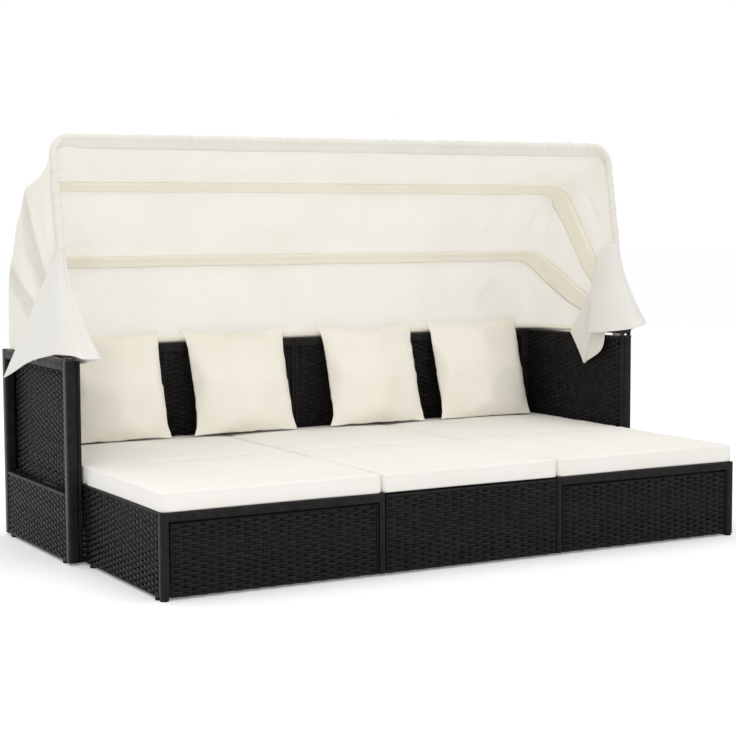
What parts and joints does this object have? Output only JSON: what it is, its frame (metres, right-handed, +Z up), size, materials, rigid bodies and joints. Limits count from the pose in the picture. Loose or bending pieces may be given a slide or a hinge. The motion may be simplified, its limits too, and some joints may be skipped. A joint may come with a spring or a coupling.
{
  "type": "outdoor daybed with canopy",
  "caption": "Extending woven daybed with seat cushions, scatter pillows and a fabric canopy that folds like a fan over its back.",
  "frame": {"origin": "on the floor under the middle of the pulled-out daybed", "axes": "+X to the right as one looks at the front, the front faces -Y, +Z up"},
  "size_m": [2.192, 1.172, 1.234],
  "materials": {
    "weave": "satin",
    "wrap": "satin",
    "steel": "satin",
    "tube": "satin",
    "plastic": "matte",
    "canvas": "matte",
    "pad": "matte",
    "throw": "matte"
  },
  "bodies": {
    "sofa": {"arm_frame_right": "wrap", "arm_frame_left": "wrap", "back_frame_right": "wrap", "back_frame_left": "wrap", "arm_panel_right": "weave", "arm_panel_left": "weave", "arm_skirt_right": "weave", "arm_skirt_left": "weave", "back_panel_right": "weave", "back_panel_left": "weave", "back_skirt_right": "weave", "back_skirt_left": "weave", "seat_deck": "steel", "foot_arm_front_right": "plastic", "foot_arm_front_left": "plastic", "foot_arm_rear_right": "plastic", "foot_arm_rear_left": "plastic", "foot_back_centre": "plastic", "foot_rail_left": "plastic", "foot_rail_centre": "plastic", "foot_rail_right": "plastic", "cushion_rear_left": "pad", "cushion_rear_centre": "pad", "cushion_rear_right": "pad", "pillow_1": "throw", "pillow_2": "throw", "pillow_3": "throw", "pillow_4": "throw", "pivot_bracket_right": "steel", "pivot_bracket_left": "steel", "pivot_pin_right": "steel", "pivot_pin_left": "steel", "hoop_rear": "tube"},
    "pull_out": {"pull_deck": "steel", "pull_side_right": "weave", "pull_side_left": "weave", "pull_front_panel_right": "weave", "pull_front_panel_left": "weave", "pull_front_centre": "weave", "pull_front_frame_right": "wrap", "pull_front_frame_left": "wrap", "foot_pull_rear_right": "plastic", "foot_pull_rear_left": "plastic", "foot_pull_front_right": "plastic", "foot_pull_front_left": "plastic", "foot_side_front_right": "plastic", "foot_side_front_left": "plastic"},
    "front_cushions": {"cushion_front_left": "pad", "cushion_front_centre": "pad", "cushion_front_right": "pad"},
    "canopy_lower": {"hoop_lower": "tube", "canopy_rear_gore": "canvas"},
    "canopy_upper": {"hoop_upper": "tube", "canopy_middle_gore": "canvas"},
    "canopy_front": {"hoop_front": "tube", "canopy_front_gore": "canvas", "canopy_sleeve": "canvas", "canopy_flap_right": "canvas", "canopy_flap_left": "canvas"}
  },
  "joints": [
    {"name": "pull_out_slide", "type": "slide", "parent": "sofa", "child": "pull_out", "axis": [0, 1, 0], "range_m": [0, 0.51]},
    {"name": "front_cushions_lean", "type": "hinge", "parent": "sofa", "child": "front_cushions", "pos_m": [0, 0.0755, 0.2362], "axis": [-1, 0, 0], "range_deg": [0, 122.2]},
    {"name": "canopy_lower_fold", "type": "hinge", "parent": "sofa", "child": "canopy_lower", "pos_m": [0, 0.002, 0.604], "axis": [-1, 0, 0], "range_deg": [0, 21.3], "deforming": ["canopy_rear_gore"]},
    {"name": "canopy_upper_fold", "type": "hinge", "parent": "canopy_lower", "child": "canopy_upper", "pos_m": [0, 0.002, 0.604], "axis": [-1, 0, 0], "range_deg": [0, 21.3], "deforming": ["canopy_middle_gore"]},
    {"name": "canopy_front_fold", "type": "hinge", "parent": "canopy_upper", "child": "canopy_front", "pos_m": [0, 0.002, 0.604], "axis": [-1, 0, 0], "range_deg": [0, 21.2], "deforming": ["canopy_front_gore", "canopy_flap_right", "canopy_flap_left"]}
  ],
  "couplings": [
    {"joint": "front_cushions_lean", "follows": "pull_out_slide", "rad_per_m": 4.175},
    {"joint": "canopy_lower_fold", "follows": "canopy_front_fold", "ratio": 1},
    {"joint": "canopy_upper_fold", "follows": "canopy_front_fold", "ratio": 1}
  ]
}
